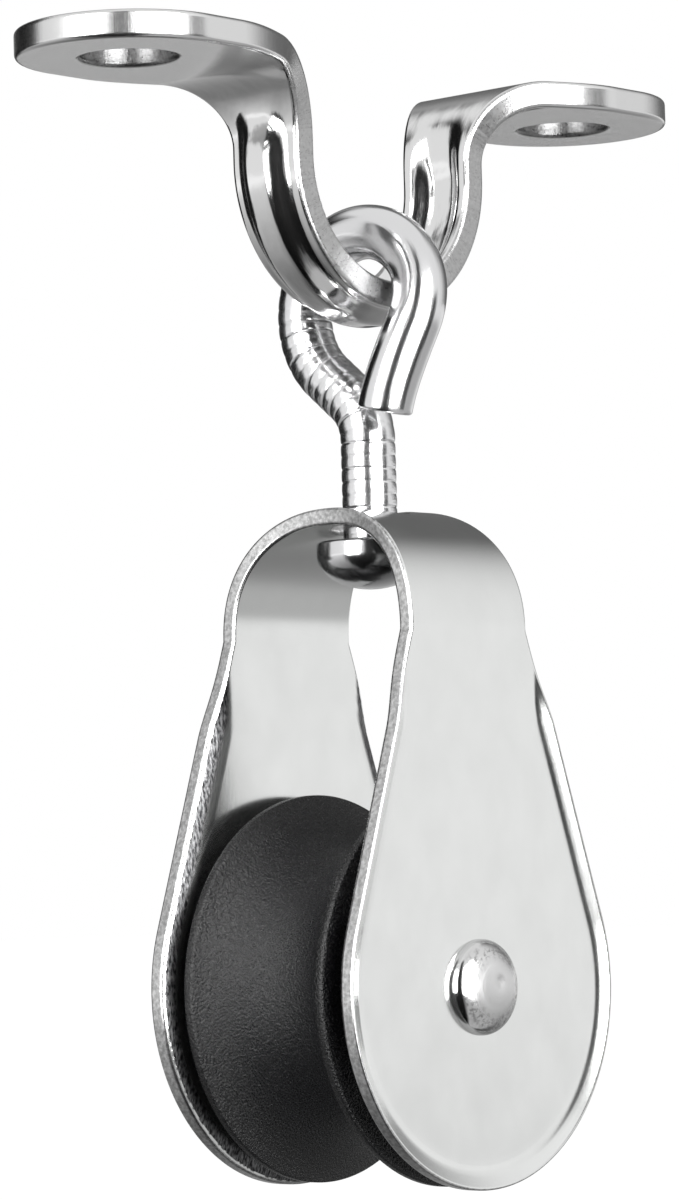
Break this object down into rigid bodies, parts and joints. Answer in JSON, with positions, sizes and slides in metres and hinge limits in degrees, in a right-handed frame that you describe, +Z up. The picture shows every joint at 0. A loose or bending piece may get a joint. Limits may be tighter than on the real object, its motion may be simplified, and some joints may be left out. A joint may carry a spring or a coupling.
{
  "type": "swivel block",
  "caption": "Small rope block: a grooved plastic sheave in a folded steel shell, hanging by a swivel eye from a pressed saddle bracket with round screw ears.",
  "frame": {"origin": "midway between the screw holes, on the plane of the ears' tops, which lie against the deck or beam", "axes": "+Z up, out of the ears' tops; X along the bracket from ear to ear; Y along the sheave's axle; the block hangs towards -Z"},
  "size_m": [0.08, 0.0272, 0.1026],
  "materials": {
    "polished_stainless_steel": "pressed strip, mirror polished",
    "turned_stainless_steel": "bent rod, tumbled to a bright finish",
    "satin_stainless_sheet": "pressed sheet, bright satin",
    "drawn_stainless_tube": "drawn tube, plain",
    "riveted_stainless_steel": "headed rod, bright",
    "black_moulded_nylon": "moulded, fine texture in the groove"
  },
  "bodies": {
    "bracket": {"deck_bracket": "polished_stainless_steel"},
    "eye": {"swivel_eye": "turned_stainless_steel"},
    "shell": {"block_shell": "satin_stainless_sheet", "axle_sleeve": "drawn_stainless_tube", "axle_rivet": "riveted_stainless_steel"},
    "wheel": {"sheave": "black_moulded_nylon"}
  },
  "joints": [
    {"name": "eye_swing", "type": "hinge", "parent": "bracket", "child": "eye", "pos_m": [0, 0, -0.01789], "axis": [0, 1, 0], "range_deg": [-60, 60]},
    {"name": "shell_swivel", "type": "hinge", "parent": "eye", "child": "shell", "pos_m": [0, 0, -0.0419], "axis": [0, 0, 1], "continuous": true},
    {"name": "sheave_spin", "type": "hinge", "parent": "shell", "child": "wheel", "pos_m": [0, 0, -0.08426], "axis": [0, 1, 0], "continuous": true}
  ]
}
